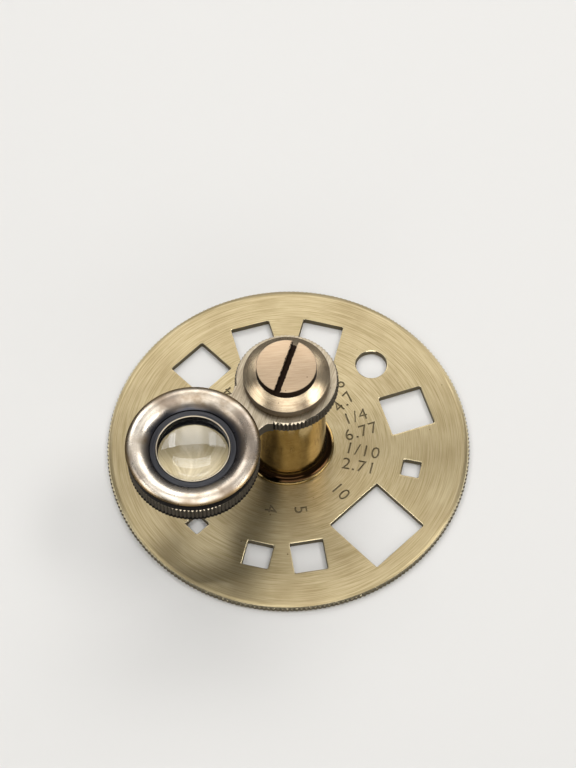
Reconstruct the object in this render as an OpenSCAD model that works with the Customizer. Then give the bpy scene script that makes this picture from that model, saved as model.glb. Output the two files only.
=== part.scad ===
// Rotary linen tester: a pierced counting disc with a magnifier that swings over its windows.
// Millimetres, +Z up. The origin is the centre of the disc's underside, on the pillar's axis.

/* [Counting disc] */
// Diameter of the disc over the tips of its knurled rim
disc_d = 55; // [53:0.5:62]
// Thickness of the disc
disc_t = 1.1; // [0.9:0.1:1.6]
// Number of teeth in the disc's rim, a multiple of four
rim_teeth = 248; // [160:4:300]
// Depth of the grooves between the rim's teeth
rim_groove = 0.25; // [0.1:0.05:0.35]
// How far in past those grooves the chamfers on the rim reach
rim_chamfer_lap = 0.05; // [0.03:0.01:0.12]
// Distance from the disc's axis to the middle of every window
window_ring_r = 19; // [18.6:0.1:20.5]

/* [Windows] */
// Side of the ten millimetre window
win_ten = 10; // [8:0.1:10.6]
// Side of the five millimetre window
win_five = 5; // [4.5:0.1:5.8]
// Side of the four millimetre window
win_four = 4; // [3:0.1:4.8]
// Side of the quarter inch window
win_quarter = 6.35; // [5.8:0.05:6.9]
// Side of the window a quarter of an old 27.07 mm inch wide
win_old_quarter = 6.77; // [6:0.05:7.2]
// Side of the window a tenth of an old 27.07 mm inch wide
win_old_tenth = 2.7; // [2:0.1:3.5]
// Side of the window a quarter of a 26.15 mm inch wide
win_wide_quarter = 6.54; // [6:0.05:7]
// Side of the window a quarter of a 24.3 mm inch wide
win_short_quarter = 6.08; // [5.8:0.05:6.6]
// Side of the tenth of an inch window
win_tenth = 2.54; // [2:0.1:3.4]
// Side of the eighth of an inch window
win_eighth = 3.18; // [2.5:0.1:4]
// Side of the fifth of an inch window
win_fifth = 5.08; // [4.4:0.1:5.4]
// Diameter of the one round window
win_round_d = 4.7; // [4:0.1:5.4]

/* [Pillar] */
// Diameter of the pillar's shaft
pillar_d = 11.4; // [9:0.1:12.6]
// Height of the pillar above the disc
pillar_h = 18; // [15.5:0.5:24]
// Diameter of the pillar's flared foot
foot_d = 13.9; // [13:0.1:16]
// Height of the upright edge of the foot, below its cove
foot_edge_h = 0.45; // [0.2:0.05:1]
// Width of the fine chamfer round the pillar's top
pillar_chamfer = 0.2; // [0.1:0.05:0.4]

/* [Pillar screw] */
// Diameter of the head of the countersunk screw under the disc
sunk_head_d = 6.2; // [5.6:0.1:7]
// Diameter of that screw's shank
sunk_shank_d = 4; // [3:0.1:4.6]
// Length of that screw, from its flush head to its tip
sunk_screw_l = 8; // [5:0.5:8.5]
// Width of the slot in that screw
sunk_slot_w = 0.7; // [0.5:0.05:1]
// Depth of the slot in that screw
sunk_slot_depth = 0.6; // [0.3:0.05:0.9]

/* [Swivel arm] */
// Distance between the pillar's axis and the lens's axis
arm_l = 18; // [17.6:0.1:19.5]
// Thickness of the arm
arm_t = 2.2; // [1.9:0.1:3]
// Bearing of the arm round the pillar, from +X
arm_bearing = 220.5; // [0:0.5:359.5]
// Diameter of the hub over its teeth
hub_d = 15.25; // [14:0.05:16]
// Number of teeth round the hub
hub_teeth = 80; // [60:4:120]
// Diameter of the lens eye over its teeth
eye_d = 19.2; // [18:0.1:20]
// Number of teeth round the lens eye
eye_teeth = 104; // [72:4:140]
// Depth of the grooves between the arm's teeth
arm_groove = 0.25; // [0.1:0.05:0.35]
// How far in past those grooves the chamfers on the arm's ends reach
arm_chamfer_lap = 0.05; // [0.03:0.01:0.12]
// How far the eye reaches down below the rest of the arm
eye_drop = 0.8; // [0.3:0.05:1]
// Width of the neck between hub and eye
neck_w = 7.2; // [5:0.1:8.6]
// Height of the neck's flanks over the tips of the teeth where they end
neck_step = 0.12; // [0.06:0.02:0.2]
// Radius of the fillets where the neck leaves the hub
hub_fillet = 1.5; // [0.8:0.1:1.8]
// Radius of the fillets where the neck meets the eye
eye_fillet = 0.8; // [0.4:0.1:1.2]

/* [Pivot screw and washer] */
// Diameter of the journal that the arm turns on
journal_d = 4; // [3.6:0.1:5]
// Diameter of the slotted head
head_d = 8.86; // [7.6:0.02:10]
// Height of the slotted head
head_h = 1.57; // [1.2:0.01:2.2]
// Width of the screwdriver slot
slot_w = 0.9; // [0.5:0.05:1.2]
// Depth of the screwdriver slot
slot_depth = 1.4; // [0.6:0.05:1.5]
// Bearing of the screwdriver slot, from +X
slot_bearing = 71; // [0:1:179]
// Width of the fine chamfer round the head
head_chamfer = 0.12; // [0.05:0.01:0.3]
// Diameter of the screw's threaded tail
tail_d = 3; // [2.4:0.1:3.4]
// Length of the screw's threaded tail
tail_l = 6; // [4:0.5:7]
// Diameter of the conical washer
washer_d = 12.7; // [11.5:0.1:13.6]
// Height of the washer at its middle
washer_h = 2.22; // [1.8:0.02:3]
// Height of the washer's upright edge
washer_edge_h = 1.35; // [0.8:0.05:1.6]

/* [Lens cell] */
// Diameter of the lens
lens_d = 11.4; // [10:0.1:12.4]
// Radius of the lens's two faces
lens_face_r = 20.7; // [16:0.1:40]
// Thickness of the lens at its edge
lens_edge_t = 1.2; // [1:0.05:1.25]
// How far the ledge under the lens reaches in from the lens's edge
ledge_lap = 0.7; // [0.4:0.05:1.2]
// Height of the ledge that the lens rests on, over the arm's underside
ledge_t = 0.7; // [0.6:0.05:1]
// Width of the bevel round the underside of that ledge
eye_bevel = 0.4; // [0.2:0.05:0.5]
// How far the retaining ring laps over the lens
retainer_lap = 0.55; // [0.4:0.05:0.8]
// Width of the retaining ring, from its opening to its outer edge
retainer_w = 1.15; // [1:0.05:1.4]
// Radius of the bead round the retaining ring's opening
retainer_bead_r = 0.15; // [0.1:0.01:0.2]
// Step from the foot of the cap's dish down to the retaining ring
retainer_step = 0.2; // [0.1:0.05:0.3]
// Wall of the cap's spigot, outside the retaining ring's seat
spigot_wall = 0.5; // [0.4:0.05:0.8]
// Outer diameter of the lens cap
cap_d = 19.54; // [18.8:0.02:21]
// Height of the cap's outer edge above the arm
cap_edge_h = 1.75; // [1.5:0.05:2.2]
// How far the cap's wall tapers in towards the arm
cap_taper = 0.27; // [0.05:0.01:0.4]
// Distance of the crest of the cap's dome from its outer edge
crest_inset = 1.17; // [0.8:0.01:1.5]
// Height of the crest above the cap's outer edge
crest_rise = 0.37; // [0.25:0.01:0.6]
// Depth of the cap's dish, from its crest to its foot
dish_depth = 0.97; // [0.6:0.01:1.1]

/* [Clearances] */
// Radial clearance of the arm on its journal
journal_clear = 0.03; // [0.01:0.01:0.1]
// Running gap on each flat face of the arm
face_clear = 0.02; // [0.01:0.01:0.1]
// Clearance of screws and spigots in the holes that hold them
fit_clear = 0.02; // [0.01:0.01:0.05]
// Clearance round the rim of the lens
lens_clear = 0.08; // [0.05:0.01:0.15]

/* [Hidden] */
$fn = 96;
// Length by which a cutting tool runs past the face it cuts
over = 1;

// Heights of the faces that the pieces seat on
disc_top = disc_t;
pillar_top = disc_top + pillar_h;
arm_bottom = pillar_top + face_clear;
arm_top = arm_bottom + arm_t;
washer_bottom = arm_top + face_clear;
head_bottom = washer_bottom + washer_h;

// Sides of the square windows, and their bearings round the disc in the same order
window_sides = [win_quarter, win_old_quarter, win_old_tenth, win_ten, win_five, win_four,
                win_tenth, win_eighth, win_fifth, win_wide_quarter, win_short_quarter];
window_bearings = [74.5, 17, -13.7, -47, -82, -105, -137, -167, 163.5, 133.5, 104.5];
// Bearing of the round window
round_window_bearing = 46.5;

// Cove that joins the pillar's shaft to its foot
cove_r = (foot_d - pillar_d) / 2;
// Height of a countersunk head with sides at 45 degrees
sunk_head_h = (sunk_head_d - sunk_shank_d) / 2;

// Diameters in the lens cell, each from the lens outwards
eye_bore_d = lens_d - 2 * ledge_lap;
retainer_bore_d = lens_d - 2 * retainer_lap;
retainer_d = retainer_bore_d + 2 * retainer_w;
spigot_d = retainer_d + 2 * spigot_wall;
crest_d = cap_d - 2 * crest_inset;

// Drop of a lens face at radius r
function face_drop(r) = lens_face_r - sqrt(lens_face_r * lens_face_r - r * r);
// The lower face of the lens rests on the inner edge of the ledge
lens_low = arm_bottom + ledge_t + fit_clear - face_drop(eye_bore_d / 2);
lens_rim_low = lens_low + face_drop(lens_d / 2);
lens_high = lens_rim_low + lens_edge_t + face_drop(lens_d / 2);
// The retaining ring lies on the upper face of the lens
retainer_bottom = lens_high - face_drop(retainer_bore_d / 2) + fit_clear;

// Heights and arcs of the cap
cap_edge = arm_top + cap_edge_h;
crest = cap_edge + crest_rise;
dish_foot = crest - dish_depth;
retainer_top = dish_foot - retainer_step;
outer_arc_r = arc_radius((cap_d - crest_d) / 2, crest_rise);
inner_arc_r = arc_radius((crest_d - retainer_d) / 2 - fit_clear, dish_depth);

// Radius of the arc that falls by drop over a run, level at its start
function arc_radius(run, drop) = (run * run + drop * drop) / (2 * drop);

// Outline of a straight knurled edge: a tip and a groove for each tooth
module knurled_outline(d, teeth, groove) {
    step = 360 / teeth;
    polygon([for (i = [0:teeth - 1], half = [0, 1])
        let (r = d / 2 - half * groove, a = (i + half / 2) * step)
        [r * cos(a), r * sin(a)]]);
}

// Double cone that takes a chamfer off both edges of a round plate
module edge_cones(d, t, chamfer) {
    low_r = d / 2 - chamfer;
    middle_r = low_r + t / 2;
    cylinder(r1 = low_r, r2 = middle_r, h = t / 2);
    translate([0, 0, t / 2]) cylinder(r1 = middle_r, r2 = low_r, h = t / 2);
}

// A round plate with a straight knurled edge, chamfered past its grooves
module knurled_plate(d, t, teeth, groove, chamfer_lap) {
    intersection() {
        linear_extrude(t) knurled_outline(d, teeth, groove);
        edge_cones(d, t, groove + chamfer_lap);
    }
}

// A corner piece that fills the angle between a round end and the neck, with a round fillet
module neck_fillet(end_r, fillet_r) {
    half_w = neck_w / 2;
    cx = sqrt(pow(end_r + fillet_r, 2) - pow(half_w + fillet_r, 2));
    cy = half_w + fillet_r;
    touch = end_r / (end_r + fillet_r);
    difference() {
        polygon([[0, 0], [cx, 0], [cx, half_w], [cx, cy], [cx * touch, cy * touch]]);
        translate([cx, cy]) circle(fillet_r);
    }
}

// The same piece on both sides of the neck
module neck_fillets(end_r, fillet_r) {
    neck_fillet(end_r, fillet_r);
    mirror([0, 1]) neck_fillet(end_r, fillet_r);
}

// Places a child on the arm's own axes, with its hub at the origin and its eye along +X
module on_arm() {
    rotate(arm_bearing) children();
}

// Places a child on the lens's axis
module on_lens_axis() {
    on_arm() translate([arm_l, 0, 0]) children();
}

// Space taken by the countersunk screw, larger by a clearance
module sunk_screw_space(clear) {
    translate([0, 0, -over])
        cylinder(r = sunk_shank_d / 2 + clear, h = over + sunk_screw_l + clear);
    translate([0, 0, -over])
        cylinder(r1 = sunk_head_d / 2 + clear + over, r2 = sunk_shank_d / 2 + clear,
                 h = over + sunk_head_h);
}

module aperture_disc() {
    color([0.80, 0.72, 0.53])
    difference() {
        knurled_plate(disc_d, disc_t, rim_teeth, rim_groove, rim_chamfer_lap);
        for (i = [0:len(window_sides) - 1])
            rotate(window_bearings[i])
                translate([window_ring_r - window_sides[i] / 2, -window_sides[i] / 2, -over])
                    cube([window_sides[i], window_sides[i], disc_t + 2 * over]);
        rotate(round_window_bearing) translate([window_ring_r, 0, -over])
            cylinder(d = win_round_d, h = disc_t + 2 * over);
        sunk_screw_space(fit_clear);
    }
}

module pillar() {
    color([0.78, 0.62, 0.32])
    difference() {
        translate([0, 0, disc_top]) rotate_extrude() {
            square([pillar_d / 2, pillar_h - pillar_chamfer]);
            square([pillar_d / 2 - pillar_chamfer, pillar_h]);
            translate([0, pillar_h - pillar_chamfer]) polygon([
                [pillar_d / 2 - pillar_chamfer, 0], [pillar_d / 2, 0],
                [pillar_d / 2 - pillar_chamfer, pillar_chamfer]]);
            square([foot_d / 2, foot_edge_h]);
            difference() {
                square([foot_d / 2, foot_edge_h + cove_r]);
                translate([foot_d / 2, foot_edge_h + cove_r]) circle(cove_r);
            }
        }
        sunk_screw_space(fit_clear);
        translate([0, 0, pillar_top - tail_l - fit_clear])
            cylinder(r = tail_d / 2 + fit_clear, h = tail_l + over);
    }
}

module pillar_screw() {
    color([0.72, 0.60, 0.38])
    difference() {
        union() {
            cylinder(d1 = sunk_head_d, d2 = sunk_shank_d, h = sunk_head_h);
            cylinder(d = sunk_shank_d, h = sunk_screw_l);
        }
        translate([-sunk_head_d, -sunk_slot_w / 2, -over])
            cube([2 * sunk_head_d, sunk_slot_w, over + sunk_slot_depth]);
    }
}

module swivel_arm() {
    color([0.74, 0.70, 0.60])
    translate([0, 0, arm_bottom]) on_arm() difference() {
        union() {
            knurled_plate(hub_d, arm_t, hub_teeth, arm_groove, arm_chamfer_lap);
            translate([arm_l, 0, -eye_drop])
                knurled_plate(eye_d, arm_t + eye_drop, eye_teeth, arm_groove, arm_chamfer_lap);
            linear_extrude(arm_t) {
                neck_fillets(hub_d / 2 + neck_step, hub_fillet);
                translate([0, -neck_w / 2]) square([arm_l, neck_w]);
                translate([arm_l, 0]) mirror([1, 0]) neck_fillets(eye_d / 2 + neck_step, eye_fillet);
            }
        }
        translate([0, 0, -over]) cylinder(r = journal_d / 2 + journal_clear, h = arm_t + 2 * over);
        translate([arm_l, 0, -eye_drop]) {
            translate([0, 0, -over]) cylinder(d = eye_bore_d, h = arm_t + eye_drop + 2 * over);
            translate([0, 0, -over])
                cylinder(r1 = eye_bore_d / 2 + eye_bevel + over, r2 = eye_bore_d / 2,
                         h = eye_bevel + over);
        }
        translate([arm_l, 0, ledge_t]) cylinder(r = spigot_d / 2 + fit_clear, h = arm_t + over);
    }
}

module pivot_screw() {
    head_top = head_bottom + head_h;
    color([0.84, 0.74, 0.60])
    difference() {
        union() {
            translate([0, 0, pillar_top - tail_l]) cylinder(d = tail_d, h = tail_l + over);
            translate([0, 0, pillar_top]) cylinder(d = journal_d, h = head_top - pillar_top - over);
            translate([0, 0, head_bottom]) cylinder(d = head_d, h = head_h - head_chamfer);
            translate([0, 0, head_top - head_chamfer])
                cylinder(d1 = head_d, d2 = head_d - 2 * head_chamfer, h = head_chamfer);
        }
        translate([0, 0, head_top - slot_depth]) rotate(slot_bearing)
            translate([-head_d, -slot_w / 2, 0]) cube([2 * head_d, slot_w, slot_depth + over]);
    }
}

module cone_washer() {
    color([0.84, 0.76, 0.58])
    translate([0, 0, washer_bottom]) difference() {
        union() {
            cylinder(d = washer_d, h = washer_edge_h);
            translate([0, 0, washer_edge_h])
                cylinder(d1 = washer_d, d2 = head_d, h = washer_h - washer_edge_h);
        }
        translate([0, 0, -over]) cylinder(r = journal_d / 2 + fit_clear, h = washer_h + 2 * over);
    }
}

module lens_cap() {
    cap_r = cap_d / 2;
    crest_r = crest_d / 2;
    bore_r = retainer_d / 2 + fit_clear;
    pocket_r = lens_d / 2 + lens_clear;
    spigot_low = arm_bottom + ledge_t + fit_clear;
    color([0.66, 0.60, 0.52])
    on_lens_axis() rotate_extrude() {
        // Inner half of the dome, down to the foot of the dish
        intersection() {
            translate([crest_r, crest - inner_arc_r]) circle(inner_arc_r);
            translate([bore_r, arm_top]) square([crest_r - bore_r, crest - arm_top]);
        }
        // Outer half of the dome, over a wall that tapers in towards the arm
        difference() {
            intersection() {
                translate([crest_r, crest - outer_arc_r]) circle(outer_arc_r);
                translate([crest_r, arm_top]) square([cap_r - crest_r, crest - arm_top]);
            }
            polygon([[cap_r - cap_taper, arm_top - over], [cap_r - cap_taper, arm_top],
                     [cap_r, cap_edge], [cap_r + over, cap_edge], [cap_r + over, arm_top - over]]);
        }
        // Spigot that enters the eye and stands round the lens
        translate([pocket_r, spigot_low])
            square([spigot_d / 2 - pocket_r, retainer_bottom - fit_clear - spigot_low]);
        translate([bore_r, spigot_low]) square([spigot_d / 2 - bore_r, arm_top + fit_clear - spigot_low]);
    }
}

module lens_retainer() {
    inner_r = retainer_bore_d / 2;
    color([0.42, 0.42, 0.46])
    on_lens_axis() rotate_extrude() {
        translate([inner_r, retainer_bottom])
            square([retainer_d / 2 - inner_r, retainer_top - retainer_bottom]);
        translate([inner_r + retainer_bead_r, retainer_top]) circle(retainer_bead_r);
    }
}

module lens() {
    color([0.80, 0.88, 0.86, 0.5])
    on_lens_axis() intersection() {
        translate([0, 0, lens_low + lens_face_r]) sphere(lens_face_r);
        translate([0, 0, lens_high - lens_face_r]) sphere(lens_face_r);
        translate([0, 0, lens_low]) cylinder(d = lens_d, h = lens_high - lens_low);
    }
}

aperture_disc();
pillar();
pillar_screw();
swivel_arm();
pivot_screw();
cone_washer();
lens_cap();
lens_retainer();
lens();
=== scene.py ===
# %% [markdown]
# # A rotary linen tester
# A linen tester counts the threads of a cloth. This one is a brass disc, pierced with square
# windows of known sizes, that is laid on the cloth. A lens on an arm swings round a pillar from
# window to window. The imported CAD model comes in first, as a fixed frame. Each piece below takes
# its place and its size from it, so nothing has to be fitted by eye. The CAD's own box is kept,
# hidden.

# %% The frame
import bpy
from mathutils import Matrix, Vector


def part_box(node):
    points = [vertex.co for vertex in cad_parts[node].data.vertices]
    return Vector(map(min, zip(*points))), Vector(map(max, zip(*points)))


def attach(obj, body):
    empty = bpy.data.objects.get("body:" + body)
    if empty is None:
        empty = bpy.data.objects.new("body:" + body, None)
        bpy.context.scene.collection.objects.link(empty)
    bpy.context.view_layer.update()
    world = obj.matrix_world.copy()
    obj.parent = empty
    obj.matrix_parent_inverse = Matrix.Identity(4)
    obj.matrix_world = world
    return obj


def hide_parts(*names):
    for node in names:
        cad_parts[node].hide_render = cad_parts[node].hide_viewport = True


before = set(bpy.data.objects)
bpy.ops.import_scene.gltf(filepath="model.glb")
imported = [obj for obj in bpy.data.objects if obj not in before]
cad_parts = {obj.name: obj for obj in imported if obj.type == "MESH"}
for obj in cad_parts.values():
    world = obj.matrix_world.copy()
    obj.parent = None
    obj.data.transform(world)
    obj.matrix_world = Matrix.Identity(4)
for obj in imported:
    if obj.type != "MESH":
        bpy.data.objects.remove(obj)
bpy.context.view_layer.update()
print("pieces in the frame:", sorted(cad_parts))

# %% [markdown]
# ## Millimetres
# Blender works in metres here, but a designer thinks of an instrument this small in millimetres.
# Each piece is therefore modelled with one unit as a millimetre, which also keeps the merging and
# bevelling tools well above their smallest step, and it is scaled down once, when it is finished.

# %% Boxes in millimetres
import math
import bpy
from mathutils import Matrix, Vector

MM = 0.001


def box_mm(node):
    """The lowest and the highest corner of a CAD node, in millimetres."""
    low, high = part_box(node)
    return low / MM, high / MM


DISC_HIGH = box_mm("aperture_disc")[1]
CAP_LOW, CAP_HIGH = box_mm("lens_cap")
LENS_AXIS = (CAP_LOW + CAP_HIGH) / 2
LENS_AXIS.z = 0
print("disc top", round(DISC_HIGH.z, 3), "lens axis", [round(v, 3) for v in LENS_AXIS])

# %% [markdown]
# ## The camera
# The picture looks down on the instrument from about sixty degrees, with a long lens, and leans by
# a little more than one degree. The long lens keeps the disc an almost true ellipse. The camera
# could be aimed with a Track To constraint, but the lean would then need a parent, so its three
# axes are worked out here and written into its matrix: right, up, and backwards along the line of
# sight.

# %% Camera
AIM = Vector((0.19, 10.65, 1.1)) * MM
DISTANCE = 460.5 * MM
ELEVATION = math.radians(60.40)
LEAN = math.radians(-1.39)

look = Vector((0, math.cos(ELEVATION), -math.sin(ELEVATION)))
side = Vector((1, 0, 0))
above = side.cross(look)
right = math.cos(LEAN) * side + math.sin(LEAN) * above
top = -math.sin(LEAN) * side + math.cos(LEAN) * above

camera_data = bpy.data.cameras.new("camera")
camera_data.sensor_width = 36
camera_data.lens = 140.625
camera_data.clip_start = 0.01
camera = bpy.data.objects.new("camera", camera_data)
bpy.context.scene.collection.objects.link(camera)
axes = Matrix((right, top, -look)).transposed().to_4x4()
camera.matrix_world = Matrix.Translation(AIM - DISTANCE * look) @ axes
bpy.context.scene.camera = camera
print("camera at", [round(v, 4) for v in camera.matrix_world.translation])

# %% [markdown]
# ## Nodes and colours
# A material is a small network of nodes. One function adds a node, sets it and links it, which
# keeps each network below readable from top to bottom. Colours are written as the hex values that
# a colour picker shows and are turned to the linear values that Cycles computes with.

# %% Node and colour helpers
def linear(hex_colour):
    """The linear colour of an sRGB hex value, with an alpha of one."""
    parts = [int(hex_colour[i:i + 2], 16) / 255 for i in (1, 3, 5)]
    return [p / 12.92 if p <= 0.04045 else ((p + 0.055) / 1.055) ** 2.4 for p in parts] + [1.0]


def plug(node, inputs):
    """Fills a node's inputs. Each is a value, or the output of another node, which is linked."""
    for name, value in inputs.items():
        if isinstance(value, bpy.types.NodeSocket):
            node.id_data.links.new(value, node.inputs[name])
        else:
            node.inputs[name].default_value = value


def add_node(owner, kind, inputs=None, **settings):
    """A new node of a material, with its settings and its inputs."""
    node = owner.node_tree.nodes.new("ShaderNode" + kind)
    for name, value in settings.items():
        setattr(node, name, value)
    plug(node, inputs or {})
    return node


print("brass of #CDBB8F is", [round(c, 3) for c in linear("#CDBB8F")])

# %% [markdown]
# ## Floor and daylight
# A metal shows little but what it reflects, so the room is half of its look. The floor is plain
# and pale. The world is a dim and even grey, so that the metal has a calm surround to reflect,
# with the lamps as its only highlights.

# %% Floor and world
bpy.ops.object.select_all(action="DESELECT")
bpy.ops.mesh.primitive_plane_add(size=4, location=(0, 0, 0))
floor = bpy.context.object
floor.name = "floor"

floor_paint = bpy.data.materials.new("matt_floor_paint")
floor_paint.use_nodes = True
plug(floor_paint.node_tree.nodes["Principled BSDF"],
     {"Base Color": linear("#E2E0DC"), "Roughness": 0.75, "Specular IOR Level": 0.2})
floor.data.materials.append(floor_paint)

world = bpy.data.worlds.new("daylight")
bpy.context.scene.world = world
world.use_nodes = True
plug(world.node_tree.nodes["Background"], {"Color": linear("#E4E6EA"), "Strength": 0.22})
bpy.context.scene.view_settings.view_transform = "Standard"
print("floor and world are in place")

# %% [markdown]
# ## Lamps
# Small metal things are lit with large soft boxes, because each lamp is seen in the metal. A level
# face mirrors to the camera what is 30 degrees behind the zenith. The main box hangs behind that
# spot and a weaker one in front of it, overhead, so only metal whose scratches draw a reflection
# out from front to back sees both. That gives the turned disc its two pale fans. Two small side
# boxes give the pillar and the washer their bright streaks, and a low box in front lights the
# chamfered edges.

# %% Lamps
def soft_box(name, place, tilt, size, watts):
    """A rectangular lamp at a place in metres. It faces down, tilted by degrees round X, Y, Z."""
    data = bpy.data.lights.new(name, "AREA")
    data.shape = "RECTANGLE"
    data.size, data.size_y = size
    data.energy = watts
    lamp = bpy.data.objects.new(name, data)
    bpy.context.scene.collection.objects.link(lamp)
    lamp.location = place
    lamp.rotation_euler = [math.radians(angle) for angle in tilt]
    print(name, "shines", round(watts / (math.pi * size[0] * size[1]), 2))


soft_box("back_box", (0.0, 0.449, 0.494), (-41.5, 0, 0), (0.72, 0.245), 1.95)
# The lens throws a sharp image of the lamp overhead on the disc. So that this image has no hard
# edge, the lamp is five equally bright boxes of growing size, each a little above the last.
OVERHEAD_WIDTH = 0.34
OVERHEAD_LENGTH = 0.50
OVERHEAD_WATTS = 0.29
for share in (0.7, 0.85, 1.0, 1.15, 1.3):
    soft_box("overhead_box", (0.0, -0.025, 0.62 + 0.02 * share), (0, 0, 0),
             (OVERHEAD_WIDTH * share, OVERHEAD_LENGTH * share), OVERHEAD_WATTS * share ** 2)
soft_box("left_box", (-0.354, 0.0, 0.545), (0, -33, 0), (0.14, 0.28), 0.5)
soft_box("right_box", (0.33, 0.0, 0.56), (0, 30.5, 0), (0.14, 0.28), 0.9)
soft_box("front_box", (0.02, -0.54, 0.335), (58, 0, 0), (0.60, 0.13), 0.7)

# %% [markdown]
# ## The counting disc
# On the real instrument this is a punched and turned plate, 1.1 mm thick, with a knurled rim for
# the fingers. Its windows have to be exact, so their shape comes straight from the CAD: a copy of
# that mesh is merged, and a bevel rounds its edges as a century of cloth has done. Only a rounded
# edge can catch the light, and those fine bright lines tell the eye that this is metal.

# %% Working copies of CAD pieces
# Points of the CAD's loose triangles that lie nearer than this, in millimetres, are one point
SAME_POINT = 0.001


def only(piece):
    """Selects this object alone and makes it active."""
    bpy.ops.object.select_all(action="DESELECT")
    piece.select_set(True)
    bpy.context.view_layer.objects.active = piece


def edit_all(piece):
    """Opens this object in edit mode, with all of it selected."""
    only(piece)
    bpy.ops.object.mode_set(mode="EDIT")
    bpy.ops.mesh.select_all(action="SELECT")


def copy_of(node, name):
    """A copy of a CAD node's mesh in millimetres, with the points that coincide merged."""
    piece = bpy.data.objects.new(name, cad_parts[node].data.copy())
    piece.data.materials.clear()
    bpy.context.scene.collection.objects.link(piece)
    only(piece)
    piece.scale = (1 / MM,) * 3
    bpy.ops.object.transform_apply(location=False, rotation=False, scale=True)
    edit_all(piece)
    bpy.ops.mesh.remove_doubles(threshold=SAME_POINT)
    bpy.ops.object.mode_set(mode="OBJECT")
    print(name, "has", len(piece.data.vertices), "points and", len(piece.data.polygons), "faces")
    return piece


counting_disc = copy_of("aperture_disc", "counting_disc")

# %% Rounded edges
# A modifier can leave points almost on one another. Nearer than this, in millimetres, they merge.
CLOSE_POINTS = 0.002
# An edge that turns by more than this, in degrees, is a corner
CORNER = 80
DISC_ROUND = 0.2
ARM_ROUND = 0.05


def merge_close(piece):
    """Merges points that almost coincide, and removes the faces that then have no area."""
    edit_all(piece)
    bpy.ops.mesh.remove_doubles(threshold=CLOSE_POINTS)
    bpy.ops.mesh.dissolve_degenerate(threshold=CLOSE_POINTS)
    bpy.ops.object.mode_set(mode="OBJECT")


def bevel(piece, width, segments):
    """Rounds the corners of a piece."""
    only(piece)
    modifier = piece.modifiers.new("edges", "BEVEL")
    modifier.width = width
    modifier.segments = segments
    modifier.limit_method = "ANGLE"
    modifier.angle_limit = math.radians(CORNER)
    modifier.use_clamp_overlap = False
    bpy.ops.object.modifier_apply(modifier=modifier.name)
    merge_close(piece)
    print(piece.name, "now has", len(piece.data.polygons), "faces")


bevel(counting_disc, DISC_ROUND, segments=3)

# %% [markdown]
# ## Stamped sizes
# Each window's size is stamped between it and the pillar, one stroke of a punch for each figure.
# Here they are plain numbers: the sides in millimetres, and the fraction where the window is a
# part of an inch. The figures are set as text, given depth, and cut out of the disc with a
# Boolean, because a stamped figure has walls that shade themselves, which a bump in the material
# wouldn't have.

# %% Stamped numbers
STAMP_DEPTH = 0.15
STAMP_RADIUS = 11.2
FIGURE_SIZE = 2.75
LINE_STEP = 2.7
# Bearing of the window, in degrees, and the lines stamped beside it
STAMPS = [(74.5, ["6.35"]), (46.5, ["3/16", "4.7"]), (17, ["1/4", "6.77"]),
          (-13.7, ["1/10", "2.71"]), (-47, ["10"]), (-82, ["5"]), (-105, ["4"]),
          (-137, ["2.54"]), (-167, ["1/8"]), (163.5, ["1/5", "5.08"]), (133.5, ["6.54"]),
          (104.5, ["6.08"])]


def stamp(text, bearing, rise):
    """A solid line of figures that reads outwards along a bearing, raised across it."""
    turn = Matrix.Rotation(math.radians(bearing), 4, "Z")
    place = turn @ Vector((STAMP_RADIUS, rise, DISC_HIGH.z))
    bpy.ops.object.select_all(action="DESELECT")
    bpy.ops.object.text_add(location=place, rotation=(0, 0, math.radians(bearing)))
    figure = bpy.context.object
    figure.data.body = text
    figure.data.size = FIGURE_SIZE
    figure.data.align_x = "CENTER"
    figure.data.align_y = "CENTER"
    figure.data.extrude = STAMP_DEPTH
    figure.data.resolution_u = 4
    figure.data.space_character = 1.12
    bpy.ops.object.convert(target="MESH")
    return bpy.context.object


punches = []
for bearing, lines in STAMPS:
    for row, text in enumerate(lines):
        rise = LINE_STEP * ((len(lines) - 1) / 2 - row)
        punches.append(stamp(text, bearing, rise))
print("lines of figures:", len(punches))

# %% One set of punches
bpy.ops.object.select_all(action="DESELECT")
for punch in punches:
    punch.select_set(True)
bpy.context.view_layer.objects.active = punches[0]
bpy.ops.object.join()
punch_set = bpy.context.object
bpy.ops.object.transform_apply(location=True, rotation=True, scale=True)
edit_all(punch_set)
bpy.ops.mesh.remove_doubles(threshold=SAME_POINT)
bpy.ops.mesh.normals_make_consistent(inside=False)
bpy.ops.object.mode_set(mode="OBJECT")
print("the punches have", len(punch_set.data.polygons), "faces")


# %% The stroke of the punches
def cut(piece, tool):
    """Cuts one solid out of another and removes the tool."""
    only(piece)
    modifier = piece.modifiers.new("cut", "BOOLEAN")
    modifier.operation = "DIFFERENCE"
    modifier.solver = "MANIFOLD"
    modifier.object = tool
    bpy.ops.object.modifier_apply(modifier=modifier.name)
    bpy.data.objects.remove(tool)
    merge_close(piece)
    print(piece.name, "has been cut and has", len(piece.data.polygons), "faces")


cut(counting_disc, punch_set)

# %% [markdown]
# ## Finishing a piece
# Every finished piece goes through the same last steps. It is shaded smooth except at real edges,
# or flat all over where its facets are the real ones, scaled from millimetres to metres and tied
# to the body it moves with, and the CAD node that it stands for is hidden. Its material comes
# later.

# %% The last steps of a piece
finished = []


def hand_over(piece, body, node, angle=30):
    """Brings a piece to metres and ties it to the frame. An angle of 0 leaves it faceted."""
    only(piece)
    bpy.ops.object.transform_apply(location=True, rotation=True, scale=True)
    if angle:
        bpy.ops.object.shade_smooth_by_angle(angle=math.radians(angle))
    else:
        bpy.ops.object.shade_flat()
    piece.scale = (MM,) * 3
    bpy.ops.object.transform_apply(location=False, rotation=False, scale=True)
    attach(piece, body)
    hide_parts(node)
    finished.append(piece)
    print(piece.name, "rides on", body, "and has", len(piece.data.polygons), "faces")


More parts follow.
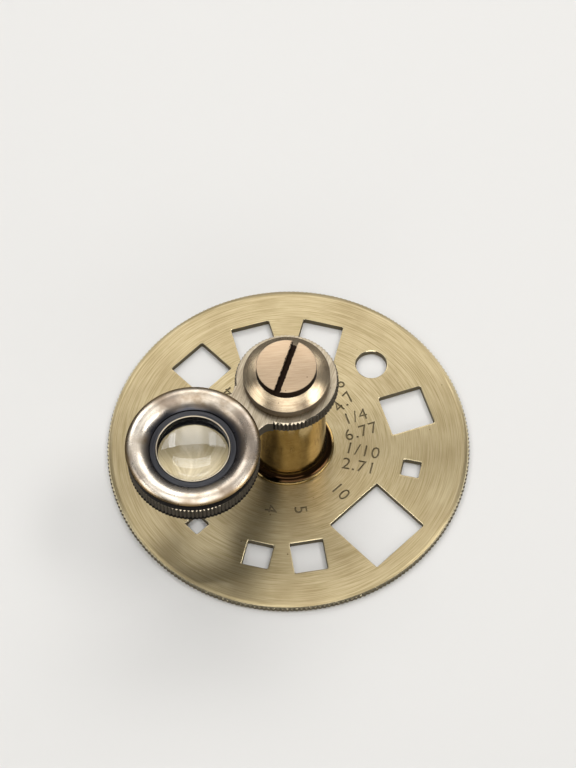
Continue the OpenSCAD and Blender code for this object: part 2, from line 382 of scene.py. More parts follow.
hand_over(counting_disc, "base", "aperture_disc", angle=0)

# %% [markdown]
# ## The pillar
# The pillar is a plain turned post with a flared foot. A lathe makes such a piece from one
# profile, and so does Blender's Spin: a plane is merged to a single point, the point is extruded
# along the profile, and the profile is spun a full turn. Its small radii are drawn in the profile
# itself.

# %% Turning tools
TURN_STEPS = 160
# The last of those steps ends on the first, to within this, in millimetres
SEAM = 0.0005


def arc(centre, radius, start, end, count):
    """Points along an arc of a profile, from one angle to another, in degrees."""
    angles = [math.radians(start + (end - start) * i / count) for i in range(count + 1)]
    return [(centre[0] + radius * math.cos(a), centre[1] + radius * math.sin(a)) for a in angles]


def turned(name, profile, steps=TURN_STEPS):
    """A solid spun round the Z axis from a profile of radii and heights, in millimetres."""
    bpy.ops.object.select_all(action="DESELECT")
    bpy.ops.mesh.primitive_plane_add(size=1)
    piece = bpy.context.object
    piece.name = name
    bpy.ops.object.mode_set(mode="EDIT")
    bpy.ops.mesh.select_mode(type="VERT")
    bpy.ops.mesh.select_all(action="SELECT")
    bpy.ops.mesh.merge(type="CENTER")
    bpy.ops.transform.translate(value=(profile[0][0], 0, profile[0][1]))
    for (r1, z1), (r2, z2) in zip(profile, profile[1:]):
        bpy.ops.mesh.extrude_vertices_move(TRANSFORM_OT_translate={"value": (r2 - r1, 0, z2 - z1)})
    bpy.ops.mesh.select_all(action="SELECT")
    bpy.ops.mesh.spin(steps=steps, angle=2 * math.pi, center=(0, 0, 0), axis=(0, 0, 1))
    bpy.ops.mesh.select_all(action="SELECT")
    bpy.ops.mesh.remove_doubles(threshold=SEAM)
    bpy.ops.mesh.normals_make_consistent(inside=False)
    bpy.ops.object.mode_set(mode="OBJECT")
    print(name, "was turned from", len(profile), "points")
    return piece


# %% Pillar
PILLAR_LOW, PILLAR_HIGH = box_mm("pillar")
SHAFT_R = 5.7
# Height of a ring of points on the shaft, which keeps the cove's shading from running up it
SHAFT_RING = 6
FOOT_EDGE = 0.45
UNDER_ROUND = 0.08
FOOT_ROUND = 0.1
TOP_ROUND = 0.2
# Two blind holes on the axis: for the screw from below, and for the tail of the pivot screw
LOWER_HOLE_R = 2.02
LOWER_HOLE_TOP = 8.02
UPPER_HOLE_R = 1.52
UPPER_HOLE_FOOT = 13.08
foot_r = PILLAR_HIGH.x
cove_r = foot_r - SHAFT_R
foot_top = PILLAR_LOW.z + FOOT_EDGE
profile = [(0, LOWER_HOLE_TOP), (LOWER_HOLE_R, LOWER_HOLE_TOP), (LOWER_HOLE_R, PILLAR_LOW.z),
           (foot_r - UNDER_ROUND, PILLAR_LOW.z)]
profile += arc((foot_r - UNDER_ROUND, PILLAR_LOW.z + UNDER_ROUND), UNDER_ROUND, -90, 0, 3)
profile += arc((foot_r - FOOT_ROUND, foot_top - FOOT_ROUND), FOOT_ROUND, 0, 90, 4)
# The cove starts 8 degrees late, because the round edge of the foot has taken its outer end
profile += arc((foot_r, foot_top + cove_r), cove_r, 262, 180, 14)
profile += [(SHAFT_R, PILLAR_LOW.z + SHAFT_RING), (SHAFT_R, PILLAR_HIGH.z - TOP_ROUND)]
profile += arc((SHAFT_R - TOP_ROUND, PILLAR_HIGH.z - TOP_ROUND), TOP_ROUND, 0, 90, 4)
profile += [(UPPER_HOLE_R, PILLAR_HIGH.z), (UPPER_HOLE_R, UPPER_HOLE_FOOT), (0, UPPER_HOLE_FOOT)]
turned_pillar = turned("turned_pillar", profile)
hand_over(turned_pillar, "base", "pillar")

# %% [markdown]
# ## The swinging arm
# The arm is a flat plate with two round ends, both knurled so that a finger can push it round. Its
# outline mixes teeth, fillets and straight flanks, so it too is a bevelled copy of the exact CAD
# piece.

# %% Arm
swinging_arm = copy_of("swivel_arm", "swinging_arm")
bevel(swinging_arm, ARM_ROUND, segments=2)
hand_over(swinging_arm, "arm", "swivel_arm", angle=0)

# %% [markdown]
# ## The cone washer
# A turned washer spreads the screw's pressure. Its upright edge and its cone meet in a fine round.

# %% Washer
WASHER_LOW, WASHER_HIGH = box_mm("cone_washer")
HEAD_LOW, HEAD_HIGH = box_mm("pivot_screw")
WASHER_BORE_R = 2.02
WASHER_EDGE = 1.35
LOW_ROUND = 0.1
washer_r = WASHER_HIGH.x
head_r = HEAD_HIGH.x
cone_foot = WASHER_LOW.z + WASHER_EDGE
# The fine rounds at the foot and at the top of the cone, as points beside their corners
foot_round = [(washer_r, cone_foot - 0.06), (washer_r - 0.03, cone_foot + 0.02),
              (washer_r - 0.12, cone_foot + 0.065)]
top_round = [(head_r + 0.02, WASHER_HIGH.z - 0.01), (head_r - 0.03, WASHER_HIGH.z)]
profile = [(WASHER_BORE_R, WASHER_LOW.z), (washer_r - LOW_ROUND, WASHER_LOW.z)]
profile += arc((washer_r - LOW_ROUND, WASHER_LOW.z + LOW_ROUND), LOW_ROUND, -70, 0, 3)
profile += foot_round + top_round
profile += [(WASHER_BORE_R, WASHER_HIGH.z), (WASHER_BORE_R, WASHER_LOW.z)]
cone_washer = turned("turned_cone_washer", profile)
hand_over(cone_washer, "base", "cone_washer", angle=20)

# %% [markdown]
# ## The pivot screw
# The arm turns on this screw's journal, under a wide slotted head. The head is turned first and
# the slot is cut after, as with the real one. Years of screwdrivers have chewed the slot, so the
# cutting block is divided along its length and its points are shaken a little before it cuts.

# %% Pivot screw
JOURNAL_R = 2.0
TAIL_R = 1.5
TAIL_POINT = 0.3
THREAD_PITCH = 0.5
THREAD_START = 0.25
THREAD_CREST = 0.05
THREAD_DEPTH = 0.25
# How far under the shoulder the last turn of thread ends, and the plain neck above it
THREAD_END = 0.5
NECK = 0.2
HEAD_UNDER = 0.06
HEAD_ROUND = 0.12
pillar_top = PILLAR_HIGH.z
profile = [(0, HEAD_LOW.z), (TAIL_R - TAIL_POINT, HEAD_LOW.z)]
turns = int((pillar_top - THREAD_END - HEAD_LOW.z) / THREAD_PITCH)
for i in range(turns):
    z = HEAD_LOW.z + THREAD_START + i * THREAD_PITCH
    profile += [(TAIL_R, z), (TAIL_R, z + THREAD_CREST),
                (TAIL_R - THREAD_DEPTH, z + THREAD_CREST + THREAD_DEPTH)]
profile += [(TAIL_R, pillar_top - NECK), (TAIL_R, pillar_top)]
profile += [(JOURNAL_R, pillar_top), (JOURNAL_R, WASHER_HIGH.z)]
profile += arc((head_r - HEAD_UNDER, WASHER_HIGH.z + HEAD_UNDER), HEAD_UNDER, -90, 0, 2)
profile += arc((head_r - HEAD_ROUND, HEAD_HIGH.z - HEAD_ROUND), HEAD_ROUND, 0, 90, 4)
profile += [(0, HEAD_HIGH.z)]
slotted_screw = turned("slotted_screw", profile)

# %% Screwdriver slot
SLOT_WIDTH = 0.9
SLOT_DEPTH = 1.4
SLOT_BEARING = 71
SLOT_DIVISIONS = 60
# The mouth of the slot is a little wider, and chewed more
MOUTH_WIDTH = SLOT_WIDTH + 0.12
MOUTH_DEPTH = 0.2


def slot_tool(width, depth, shake, seed):
    """A long block across the head, divided along its length and shaken."""
    bpy.ops.object.select_all(action="DESELECT")
    bpy.ops.mesh.primitive_cube_add(size=1, location=(0, 0, 0))
    block = bpy.context.object
    block.scale = (2.6 * head_r, width, 2 * depth)
    bpy.ops.object.transform_apply(location=False, rotation=False, scale=True)
    bpy.ops.object.mode_set(mode="EDIT")
    bpy.ops.mesh.select_mode(type="EDGE")
    bpy.ops.mesh.select_all(action="DESELECT")
    bpy.ops.object.mode_set(mode="OBJECT")
    for edge in block.data.edges:
        a, b = (block.data.vertices[i].co for i in edge.vertices)
        edge.select = abs(a.x - b.x) > head_r
    bpy.ops.object.mode_set(mode="EDIT")
    bpy.ops.mesh.subdivide(number_cuts=SLOT_DIVISIONS)
    bpy.ops.mesh.select_all(action="SELECT")
    bpy.ops.transform.vertex_random(offset=shake, uniform=0, normal=0, seed=seed)
    bpy.ops.object.mode_set(mode="OBJECT")
    block.location.z = HEAD_HIGH.z
    block.rotation_euler.z = math.radians(SLOT_BEARING)
    only(block)
    bpy.ops.object.transform_apply(location=True, rotation=True, scale=True)
    return block


cut(slotted_screw, slot_tool(SLOT_WIDTH, SLOT_DEPTH, shake=0.07, seed=4))
cut(slotted_screw, slot_tool(MOUTH_WIDTH, MOUTH_DEPTH, shake=0.16, seed=9))
hand_over(slotted_screw, "base", "pivot_screw")

# %% [markdown]
# ## The lens cap
# The cap is a domed ring that closes the lens cell. Its crest lies near its outer edge and its
# inner slope falls in a dish to the retaining ring. Two arcs of different radii give that section,
# and it has to be smooth, because a polished dome shows the smallest flat in its reflections.

# %% Cap
CAP_STEPS = 192
CREST_R = 8.6
# Height of the dome's outer edge and of the foot of its dish
EDGE_Z = CAP_LOW.z + 3.23
DISH_Z = CAP_HIGH.z - 0.97
# How far the outer wall draws in towards the arm
CAP_TAPER = 0.27
# The retaining ring's seat, the pocket of the lens, and the spigot that enters the eye
SEAT_R = 6.32
SEAT_Z = 21.377
POCKET_R = 5.78
SPIGOT_R = 6.8
ARM_TOP = box_mm("swivel_arm")[1].z


def falling_arc(start, end, count):
    """An arc that is level at its start and falls to its end, as a list of points."""
    run, drop = end[0] - start[0], start[1] - end[1]
    radius = (run * run + drop * drop) / (2 * drop)
    sweep = math.asin(run / radius)
    return [(start[0] + radius * math.sin(sweep * i / count),
             start[1] - radius * (1 - math.cos(sweep * i / count))) for i in range(count + 1)]


cap_r = (CAP_HIGH.x - CAP_LOW.x) / 2
# Both edges of the dome are broken by a small flat, from its upper to its lower point
outer_flat = [(cap_r - 0.03, EDGE_Z + 0.04), (cap_r, EDGE_Z - 0.05)]
inner_flat = [(SEAT_R + 0.06, DISH_Z + 0.03), (SEAT_R, DISH_Z - 0.04)]
outer = falling_arc((CREST_R, CAP_HIGH.z), outer_flat[0], 14)
inner = falling_arc((CREST_R, CAP_HIGH.z), inner_flat[0], 22)
profile = [(cap_r - CAP_TAPER, ARM_TOP), outer_flat[1]] + outer[::-1] + inner[1:]
profile += [inner_flat[1], (SEAT_R, SEAT_Z), (POCKET_R, SEAT_Z), (POCKET_R, CAP_LOW.z)]
profile += [(SPIGOT_R, CAP_LOW.z), (SPIGOT_R, ARM_TOP), (cap_r - CAP_TAPER, ARM_TOP)]
domed_cap = turned("domed_cap", profile, CAP_STEPS)
domed_cap.location = LENS_AXIS
hand_over(domed_cap, "arm", "lens_cap")

# %% [markdown]
# ## The retaining ring
# A blackened ring screws down on the lens. It has a small bead round its opening.

# %% Retaining ring
RING_LOW, RING_HIGH = box_mm("lens_retainer")
RING_R = (RING_HIGH.x - RING_LOW.x) / 2
RING_EDGE = 0.08
OPENING_R = RING_R - 1.15
BEAD_R = 0.15
ring_top = RING_HIGH.z - BEAD_R
profile = [(OPENING_R, RING_LOW.z), (OPENING_R, ring_top)]
profile += arc((OPENING_R + BEAD_R, ring_top), BEAD_R, 180, 0, 8)[1:]
profile += [(RING_R - RING_EDGE, ring_top), (RING_R, ring_top - RING_EDGE)]
profile += [(RING_R, RING_LOW.z), (OPENING_R, RING_LOW.z)]
retaining_ring = turned("retaining_ring", profile, CAP_STEPS)
retaining_ring.location = LENS_AXIS
hand_over(retaining_ring, "arm", "lens_retainer")

# %% [markdown]
# ## The lens
# The lens is biconvex, as a simple magnifier's is. Its two faces are true arcs, because the
# picture that it bends depends on their curve.

# %% Lens
LENS_LOW, LENS_HIGH = box_mm("lens")
LENS_R = (LENS_HIGH.x - LENS_LOW.x) / 2
LENS_EDGE = 1.2
LENS_STEPS = 128
bulge = (LENS_HIGH.z - LENS_LOW.z - LENS_EDGE) / 2
upper = falling_arc((0, LENS_HIGH.z), (LENS_R, LENS_HIGH.z - bulge), 24)
lower = [(r, LENS_LOW.z + LENS_HIGH.z - z) for r, z in upper]
magnifier = turned("magnifier_lens", lower + upper[::-1], LENS_STEPS)
magnifier.location = LENS_AXIS
hand_over(magnifier, "arm", "lens")

# %% [markdown]
# ## Turned satin brass
# The disc was faced on a lathe and rubbed with fine abrasive while it turned, so its scratches are
# circles. Seen from far off they stretch every reflection across themselves, which is the pale fan
# that a turned disc shows. A radial tangent with anisotropy gives that. The scratches that can be
# told apart come from a noise that is stretched along the circle. They are drawn coarser than the
# real ones, which are too fine to show from here.

# %% Brass
# A quarter turn from the tangent: a reflection is drawn out across the scratches, not along them
ACROSS = 0.25


def brass(name, roughness, anisotropy):
    """A metal with its Principled shader. Both come back."""
    metal = bpy.data.materials.new(name)
    metal.use_nodes = True
    shader = metal.node_tree.nodes["Principled BSDF"]
    # Only the tarnish and painted shade have a gloss apart from the metal's, and a weak one
    plug(shader, {"Metallic": 1.0, "Roughness": roughness, "Specular IOR Level": 0.15,
                  "Anisotropic": anisotropy, "Anisotropic Rotation": ACROSS})
    return metal, shader


def coat(piece, material):
    """Gives a piece, or a CAD node's object, one material all over."""
    piece.data.materials.clear()
    piece.data.materials.append(material)
    print(piece.name, "is made of", material.name, "with", len(material.node_tree.nodes), "nodes")


def centred(metal, axis=(0, 0, 0)):
    """A piece's own coordinates in millimetres, centred on an axis."""
    place = add_node(metal, "TexCoord").outputs["Object"]
    return add_node(metal, "Mapping", {"Vector": place, "Scale": (1 / MM,) * 3,
                                       "Location": (-axis[0], -axis[1], 0)}).outputs[0]


def polar(metal, place):
    """The distance of a place from the axis, and the direction in which it lies."""
    flat = add_node(metal, "VectorMath", {0: place, 1: (1, 1, 0)}, operation="MULTIPLY").outputs[0]
    radius = add_node(metal, "VectorMath", {0: flat}, operation="LENGTH").outputs["Value"]
    direction = add_node(metal, "VectorMath", {0: flat}, operation="NORMALIZE").outputs[0]
    return radius, direction


disc_brass, shader = brass("turned_satin_brass", 0.36, 0.7)
place = centred(disc_brass)
radius, direction = polar(disc_brass, place)
print("disc_brass has", len(disc_brass.node_tree.nodes), "nodes with its coordinates")


# %% Scratches round an axis
def circles(metal, radius, direction, pitch, length):
    """Noise drawn out along circles, with a pitch in millimetres and a length in radians."""
    across = add_node(metal, "Math", {0: radius, 1: 1 / pitch}, operation="MULTIPLY").outputs[0]
    around = add_node(metal, "VectorMath", {0: direction, "Scale": 1 / length}, operation="SCALE")
    parts = add_node(metal, "SeparateXYZ", {0: around.outputs[0]}).outputs
    path = add_node(metal, "CombineXYZ", {"X": across, "Y": parts[0], "Z": parts[1]}).outputs[0]
    return add_node(metal, "TexNoise", {"Vector": path, "Scale": 1.0, "Detail": 3.0,
                                        "Roughness": 0.6}).outputs[0]


def layer(metal, under, over, value, low, high, most=1.0):
    """One colour laid over another where a value passes from low to high, up to a share."""
    share = add_node(metal, "MapRange", {"Value": value, "From Min": low, "From Max": high,
                                         "To Max": most}).outputs[0]
    under = linear(under) if isinstance(under, str) else under
    return add_node(metal, "Mix", {0: share, 6: under, 7: linear(over)},
                    data_type="RGBA").outputs[2]


def turned_grain(metal, shader, height, depth, strength=1.0):
    """Runs the grain round the Z axis, under a relief as deep as this in millimetres."""
    tangent = add_node(metal, "Tangent", direction_type="RADIAL", axis="Z").outputs[0]
    dent = add_node(metal, "Bump", {"Height": height, "Distance": depth * MM,
                                    "Strength": strength}).outputs[0]
    plug(shader, {"Tangent": tangent, "Normal": dent})


# Wear has rounded the face down towards the rim, over this width and by this height
WEAR_WIDTH = 0.9
WEAR_DEPTH = 0.18
lines = circles(disc_brass, radius, direction, pitch=0.13, length=0.25)
patches = add_node(disc_brass, "TexNoise", {"Vector": place, "Scale": 0.14,
                                            "Detail": 4.0}).outputs[0]
colour = layer(disc_brass, "#AD9E7D", "#928360", lines, 0.38, 0.64)
colour = layer(disc_brass, colour, "#7E6D4C", patches, 0.45, 0.75, most=0.45)
rough = add_node(disc_brass, "MapRange", {"Value": lines, "From Min": 0.3, "From Max": 0.7,
                                          "To Min": 0.3, "To Max": 0.42}).outputs[0]
worn = add_node(disc_brass, "MapRange", {"Value": radius, "From Min": DISC_HIGH.x,
                                         "From Max": DISC_HIGH.x - WEAR_WIDTH},
                interpolation_type="SMOOTHSTEP").outputs[0]
relief = add_node(disc_brass, "Math", {0: lines, 1: 0.022, 2: worn},
                  operation="MULTIPLY_ADD").outputs[0]
turned_grain(disc_brass, shader, relief, depth=WEAR_DEPTH)
print("disc_brass has", len(disc_brass.node_tree.nodes), "nodes with its scratches")

# %% [markdown]
# Old brass has dark specks where it began to corrode. No polishing cloth reaches its upright
# walls, the roots of its teeth or its stamped figures, so a brown tarnish stays there. Ambient
# Occlusion measures how closed in a point is and finds such places by itself. The dark layer on
# upright walls and closed-in places is tarnish and painted shade together. It is darker than the
# tarnish alone, because it also stands in for the shade and the dark reflections there. That layer
# is no metal, so where it lies the shader's Metallic falls too, or the walls would go on shining
# like a mirror.
# On an edge that leans, wear does the opposite: it rubs the metal bright and smooth. On the disc
# that bright edge colour is also a painted highlight.

# %% Specks and masks
# Share of the cells that have no speck
BARE_CELLS = 0.62


def speckled(metal, place, colour, spacing, size, speck):
    """Small dark specks, one to some of the cells of this spacing."""
    cells = add_node(metal, "TexVoronoi", {"Vector": place, "Scale": 1 / spacing})
    near = add_node(metal, "MapRange", {"Value": cells.outputs["Distance"],
                                        "From Min": size / spacing,
                                        "From Max": 0.4 * size / spacing}).outputs[0]
    choice = add_node(metal, "SeparateColor", {0: cells.outputs["Color"]}).outputs[0]
    chosen = add_node(metal, "Math", {0: choice, 1: BARE_CELLS},
                      operation="GREATER_THAN").outputs[0]
    amount = add_node(metal, "Math", {0: near, 1: chosen}, operation="MULTIPLY").outputs[0]
    return layer(metal, colour, speck, amount, 0, 1)


def closed_in(metal, reach, least=0.2, most=0.75):
    """How closed in a point is by its own piece, from 0 to 1, within a reach in millimetres."""
    open_share = add_node(metal, "AmbientOcclusion", {"Distance": reach * MM}, samples=8,
                          only_local=True).outputs["AO"]
    return add_node(metal, "MapRange", {"Value": open_share, "From Min": most,
                                        "From Max": least}).outputs[0]


def upright(metal, most=1.0, none=0.5, full=0.3):
    """A share that rises as a face leans from level to upright, by the height of its normal."""
    normal = add_node(metal, "SeparateXYZ", {0: add_node(metal, "NewGeometry").outputs["Normal"]})
    rise = add_node(metal, "Math", {0: normal.outputs[2]}, operation="ABSOLUTE").outputs[0]
    return add_node(metal, "MapRange", {"Value": rise, "From Min": none, "From Max": full,
                                        "To Max": most}).outputs[0]


def by_height(metal, place, none, full):
    """0 at one height and 1 at another, in millimetres."""
    height = add_node(metal, "SeparateXYZ", {0: place}).outputs[2]
    return add_node(metal, "MapRange", {"Value": height, "From Min": none,
                                        "From Max": full}).outputs[0]


colour = speckled(disc_brass, place, colour, spacing=2.2, size=0.15, speck="#5E4C2E")
print("disc_brass has", len(disc_brass.node_tree.nodes), "nodes with its specks")

# %% Tarnish, painted shade and rubbed edges
TARNISH_AND_SHADE_ROUGHNESS = 0.75
TARNISH_AND_SHADE_METALLIC = 0.25
RUBBED_ROUGHNESS = 0.16


def tarnish_and_shade(metal, shader, colour, rough, masks, tarnish_and_shade_colour):
    """Lays a matt layer of tarnish and painted shade over a metal's colour wherever one of the
    masks is up.
    """
    amount = masks[0]
    for mask in masks[1:]:
        amount = add_node(metal, "Math", {0: amount, 1: mask}, operation="MAXIMUM").outputs[0]
    metallic = add_node(metal, "MapRange", {"Value": amount, "To Min": 1.0,
                                            "To Max": TARNISH_AND_SHADE_METALLIC}).outputs[0]
    matt = add_node(metal, "MapRange", {"Value": amount, "To Min": rough,
                                        "To Max": TARNISH_AND_SHADE_ROUGHNESS}).outputs[0]
    plug(shader, {"Base Color": layer(metal, colour, tarnish_and_shade_colour, amount, 0, 1),
                  "Metallic": metallic, "Roughness": matt})


def burnished_and_highlit(metal, colour, rough, light):
    """Rubs the edges that lean smooth and gives them another colour: wear, and on the disc also a
    painted highlight. Their mask, colour and roughness come back.
    """
    edge = upright(metal, none=0.99, full=0.9)
    smooth = add_node(metal, "MapRange", {"Value": edge, "To Min": rough,
                                          "To Max": RUBBED_ROUGHNESS}).outputs[0]
    return edge, layer(metal, colour, light, edge, 0, 1), smooth


# The floors of the figures: quite level faces a little below the disc's own
FIGURE_TARNISH = 0.6
# The leaning edges of the disc get a paler colour, which is wear and a painted highlight
edge, colour, rough = burnished_and_highlit(disc_brass, colour, rough, "#DCCFAC")
figures = add_node(disc_brass, "Math", {0: 1.0, 1: edge}, operation="SUBTRACT").outputs[0]
sunk = by_height(disc_brass, place, none=DISC_HIGH.z - 0.04, full=DISC_HIGH.z - 0.08)
shallow = by_height(disc_brass, place, none=DISC_HIGH.z - 0.3, full=DISC_HIGH.z - 0.16)
for share in (sunk, shallow, FIGURE_TARNISH):
    figures = add_node(disc_brass, "Math", {0: figures, 1: share}, operation="MULTIPLY").outputs[0]
# The upright walls and the closed-in places of the disc get tarnish and painted shade
masks = [upright(disc_brass, most=0.8), closed_in(disc_brass, 0.3, least=0.1, most=0.55), figures]
tarnish_and_shade(disc_brass, shader, colour, rough, masks, "#2E2415")
coat(counting_disc, disc_brass)

# %% [markdown]
# ## Polished gold brass
# The pillar is handled less and kept a deep gold. It is polished with the cloth going round it,
# and it is finely pitted. Its tarnish lies in the cove of the foot, where two surfaces meet.

# %% Pillar material
pillar_brass, shader = brass("polished_gold_brass", 0.12, 0.5)
place = centred(pillar_brass)
patches = add_node(pillar_brass, "TexNoise", {"Vector": place, "Scale": 1.3,
                                              "Detail": 5.0}).outputs[0]
grain = add_node(pillar_brass, "TexNoise", {"Vector": place, "Scale": 2.4,
                                            "Detail": 3.0}).outputs[0]
colour = layer(pillar_brass, "#BFA56E", "#AC935D", patches, 0.4, 0.7)
colour = speckled(pillar_brass, place, colour, spacing=0.9, size=0.12, speck="#3E2E16")
# The cove lies between these heights: over the edge of the foot and under the plain shaft
above_edge = by_height(pillar_brass, place, none=1.52, full=1.6)
below_shaft = by_height(pillar_brass, place, none=2.9, full=2.3)
cove = add_node(pillar_brass, "Math", {0: below_shaft, 1: above_edge},
                operation="MULTIPLY").outputs[0]
colour = layer(pillar_brass, colour, "#3A2716", cove, 0, 1)
rough = add_node(pillar_brass, "MapRange", {"Value": patches, "From Min": 0.3, "From Max": 0.7,
                                            "To Min": 0.11, "To Max": 0.15}).outputs[0]
plug(shader, {"Base Color": colour, "Roughness": rough})
turned_grain(pillar_brass, shader, grain, depth=0.003)
coat(turned_pillar, pillar_brass)

# %% [markdown]
# ## Straight-brushed brass
# The arm was rubbed on a flat sheet of abrasive, so its scratches are straight and all lean one
# way. Long use has left it paler and greyer than the disc.

# %% Scratches along a bearing
def brushed(metal, place, bearing, pitch, length):
    """Noise drawn out along a bearing, with its pitch and its length in millimetres."""
    path = add_node(metal, "Mapping", {"Vector": place, "Rotation": (0, 0, -bearing)}).outputs[0]
    path = add_node(metal, "VectorMath", {0: path, 1: (1 / length, 1 / pitch, 1 / pitch)},
                    operation="MULTIPLY").outputs[0]
    return add_node(metal, "TexNoise", {"Vector": path, "Scale": 1.0, "Detail": 3.0,
                                        "Roughness": 0.6}).outputs[0]


def brushed_grain(metal, shader, bearing, height, depth):
    """Runs the grain along a bearing of the piece's own, so that it turns with the piece."""
    along = (math.cos(bearing), math.sin(bearing), 0)
    tangent = add_node(metal, "VectorTransform", {0: along}, vector_type="VECTOR",
                       convert_from="OBJECT", convert_to="WORLD").outputs[0]
    dent = add_node(metal, "Bump", {"Height": height, "Distance": depth * MM,
                                    "Strength": 0.5}).outputs[0]
    plug(shader, {"Tangent": tangent, "Normal": dent})


ARM_BRUSH = math.radians(70)
ARM_ROUGHNESS = 0.34
arm_brass, shader = brass("straight_brushed_brass", ARM_ROUGHNESS, 0.55)
place = centred(arm_brass)
lines = brushed(arm_brass, place, ARM_BRUSH, pitch=0.2, length=3.0)
brushed_grain(arm_brass, shader, ARM_BRUSH, lines, depth=0.01)
print("arm_brass has", len(arm_brass.node_tree.nodes), "nodes with its scratches")

# %% Arm material
patches = add_node(arm_brass, "TexNoise", {"Vector": place, "Scale": 0.2,
                                           "Detail": 4.0}).outputs[0]
colour = layer(arm_brass, "#B7AA94", "#8F826D", lines, 0.35, 0.65)
colour = layer(arm_brass, colour, "#7C6D57", patches, 0.5, 0.8, most=0.4)
colour = speckled(arm_brass, place, colour, spacing=1.1, size=0.12, speck="#3E3222")
_, colour, rough = burnished_and_highlit(arm_brass, colour, ARM_ROUGHNESS, "#A99D88")
# The underside is painted dark, as painted shade. The bore of the eye is blackened, to throw no
# light into the lens.
underside_shade = by_height(arm_brass, place, none=19.2, full=19.15)
eye_radius = polar(arm_brass, centred(arm_brass, LENS_AXIS))[0]
bore = add_node(arm_brass, "MapRange", {"Value": eye_radius, "From Min": 7.0,
                                        "From Max": 6.9}).outputs[0]
# The near-black layer on the upright faces, the closed-in places and the underside is tarnish and
# painted shade
masks = [upright(arm_brass, most=0.78), closed_in(arm_brass, 0.3, least=0.65, most=0.95),
         underside_shade, bore]
tarnish_and_shade(arm_brass, shader, colour, rough, masks, "#120C07")
coat(swinging_arm, arm_brass)

# %% [markdown]
# ## Bright turned brass
# The washer keeps the fine rings of the lathe tool.

# %% Washer material
WASHER_ROUGHNESS = 0.26
washer_brass, shader = brass("bright_turned_brass", WASHER_ROUGHNESS, 0.3)
place = centred(washer_brass)
radius, direction = polar(washer_brass, place)
lines = circles(washer_brass, radius, direction, pitch=0.13, length=0.6)
patches = add_node(washer_brass, "TexNoise", {"Vector": place, "Scale": 0.5,
                                              "Detail": 4.0}).outputs[0]
colour = layer(washer_brass, "#BFAE92", "#AA967A", lines, 0.35, 0.65)
colour = layer(washer_brass, colour, "#806C58", patches, 0.5, 0.8, most=0.7)
colour = speckled(washer_brass, place, colour, spacing=1.0, size=0.12, speck="#3E2E1A")
# The upright edge and the closed-in places of the washer get tarnish and painted shade
masks = [upright(washer_brass, most=0.6), closed_in(washer_brass, 0.5)]
tarnish_and_shade(washer_brass, shader, colour, WASHER_ROUGHNESS, masks, "#2E2114")
turned_grain(washer_brass, shader, lines, depth=0.002)
coat(cone_washer, washer_brass)

# %% [markdown]
# ## Satin screw brass
# The screw's head was rubbed flat on fine abrasive, across its slot. It has a warmer, pinkish
# tone. Its slot is painted dark inside, as painted shade.

# %% Screw material
SCREW_BRUSH = math.radians(4)
SCREW_ROUGHNESS = 0.3
screw_brass, shader = brass("satin_screw_brass", SCREW_ROUGHNESS, 0.4)
place = centred(screw_brass)
lines = brushed(screw_brass, place, SCREW_BRUSH, pitch=0.11, length=2.0)
colour = layer(screw_brass, "#A8947B", "#99836A", lines, 0.35, 0.65)
colour = speckled(screw_brass, place, colour, spacing=1.0, size=0.12, speck="#4A371F")
# Painted shade inside the slot, below the top of the head
slot_shade = by_height(screw_brass, place, none=HEAD_HIGH.z - 0.2, full=HEAD_HIGH.z - 0.5)
# The head's upright side gets tarnish and painted shade
masks = [upright(screw_brass), slot_shade]
tarnish_and_shade(screw_brass, shader, colour, SCREW_ROUGHNESS, masks, "#2C1E13")
brushed_grain(screw_brass, shader, SCREW_BRUSH, lines, depth=0.004)
coat(slotted_screw, screw_brass)
coat(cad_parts["pillar_screw"], screw_brass)

# %% [markdown]
# ## Worn polished brass
# The cap is polished by every finger that swings it. Its crest has gone a silvery brown, with
# smudges. The foot of its dish is painted a dark slate, as a painted reflection of a dark
# surround. The border between them wanders, so a slow noise is added to the radius before it is
# compared.

# %% Cap material
cap_brass, shader = brass("worn_polished_brass", 0.16, 0.3)
place = centred(cap_brass, LENS_AXIS)
radius, direction = polar(cap_brass, place)
lines = circles(cap_brass, radius, direction, pitch=0.15, length=0.5)
smudges = add_node(cap_brass, "TexNoise", {"Vector": place, "Scale": 0.2, "Detail": 5.0,
                                           "Roughness": 0.6}).outputs[0]
stains = add_node(cap_brass, "TexNoise", {"Vector": place, "Scale": 0.11,
                                          "Detail": 3.0}).outputs[0]
wander = add_node(cap_brass, "Math", {0: smudges, 1: 1.4, 2: radius},
                  operation="MULTIPLY_ADD").outputs[0]
colour = layer(cap_brass, "#D4CABB", "#94836E", smudges, 0.42, 0.66)
colour = layer(cap_brass, colour, "#6A5C50", stains, 0.48, 0.6, most=0.75)
colour = layer(cap_brass, colour, "#7D6C57", lines, 0.5, 0.8, most=0.35)
# Painted reflection: the foot of the dish is a dark slate
colour = layer(cap_brass, colour, "#55555A", wander, 7.9, 7.2)
colour = layer(cap_brass, colour, "#86704F", radius, 9.2, 9.6)
rough = add_node(cap_brass, "MapRange", {"Value": smudges, "From Min": 0.3, "From Max": 0.7,
                                         "To Min": 0.2, "To Max": 0.38}).outputs[0]
# The near-black layer on the upright outer wall is a painted reflection of a dark surround, with
# painted shade where the cap is closed in
masks = [upright(cap_brass), closed_in(cap_brass, 0.3)]
tarnish_and_shade(cap_brass, shader, colour, rough, masks, "#0E0906")
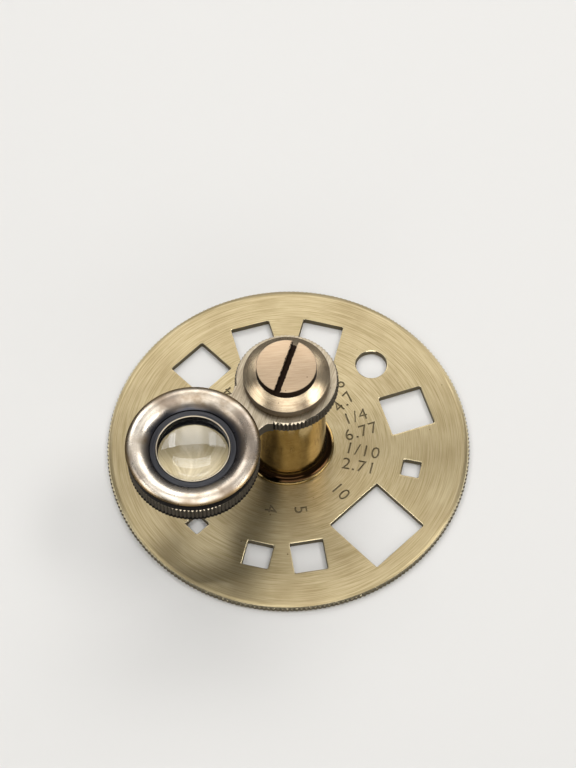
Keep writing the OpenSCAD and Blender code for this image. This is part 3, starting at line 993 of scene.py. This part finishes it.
turned_grain(cap_brass, shader, lines, depth=0.004, strength=0.5)
coat(domed_cap, cap_brass)

# %% [markdown]
# ## Blackened ring
# The ring was darkened in an acid bath so that it doesn't glare beside the lens. The black has
# worn off its bead, whose paler colour is also a painted highlight.

# %% Ring material
ring_dark, shader = brass("blackened_brass", 0.3, 0.5)
place = centred(ring_dark, LENS_AXIS)
radius, direction = polar(ring_dark, place)
lines = circles(ring_dark, radius, direction, pitch=0.12, length=0.7)
colour = layer(ring_dark, "#444446", "#2E2E31", lines, 0.35, 0.65)
# The bead's pale colour is wear and a painted highlight
bead_wear_and_highlight = by_height(ring_dark, place, none=RING_HIGH.z - 0.09, full=RING_HIGH.z)
colour = layer(ring_dark, colour, "#B3A791", bead_wear_and_highlight, 0, 1)
colour = layer(ring_dark, colour, "#15110C", upright(ring_dark), 0, 1)
plug(shader, {"Base Color": colour})
turned_grain(ring_dark, shader, lines, depth=0.004, strength=0.5)
coat(retaining_ring, ring_dark)

# %% [markdown]
# ## Optical glass
# The lens is crown glass, ground and polished. A trace of fingerprint is all that its faces show.
# Its rim is painted black, which keeps stray light out of the picture, so the rim lets nothing
# through.

# %% Lens material
lens_glass = bpy.data.materials.new("polished_crown_glass")
lens_glass.use_nodes = True
place = centred(lens_glass, LENS_AXIS)
radius = polar(lens_glass, place)[0]
smudges = add_node(lens_glass, "TexNoise", {"Vector": place, "Scale": 0.5,
                                            "Detail": 6.0}).outputs[0]
haze = add_node(lens_glass, "MapRange", {"Value": smudges, "From Min": 0.5, "From Max": 0.8,
                                         "To Max": 0.05}).outputs[0]
clear = add_node(lens_glass, "MapRange", {"Value": radius, "From Min": LENS_R - 0.04,
                                          "From Max": LENS_R - 0.06}).outputs[0]
colour = layer(lens_glass, "#120F0C", "#E8EBF0", clear, 0, 1)
plug(lens_glass.node_tree.nodes["Principled BSDF"],
     {"Base Color": colour, "IOR": 1.52, "Transmission Weight": clear, "Roughness": haze})
coat(magnifier, lens_glass)

# %% [markdown]
# ## Handing over
# The visual model has to stay within the CAD's box.

# %% Finished pieces
print("pieces finished:", [piece.name for piece in finished])
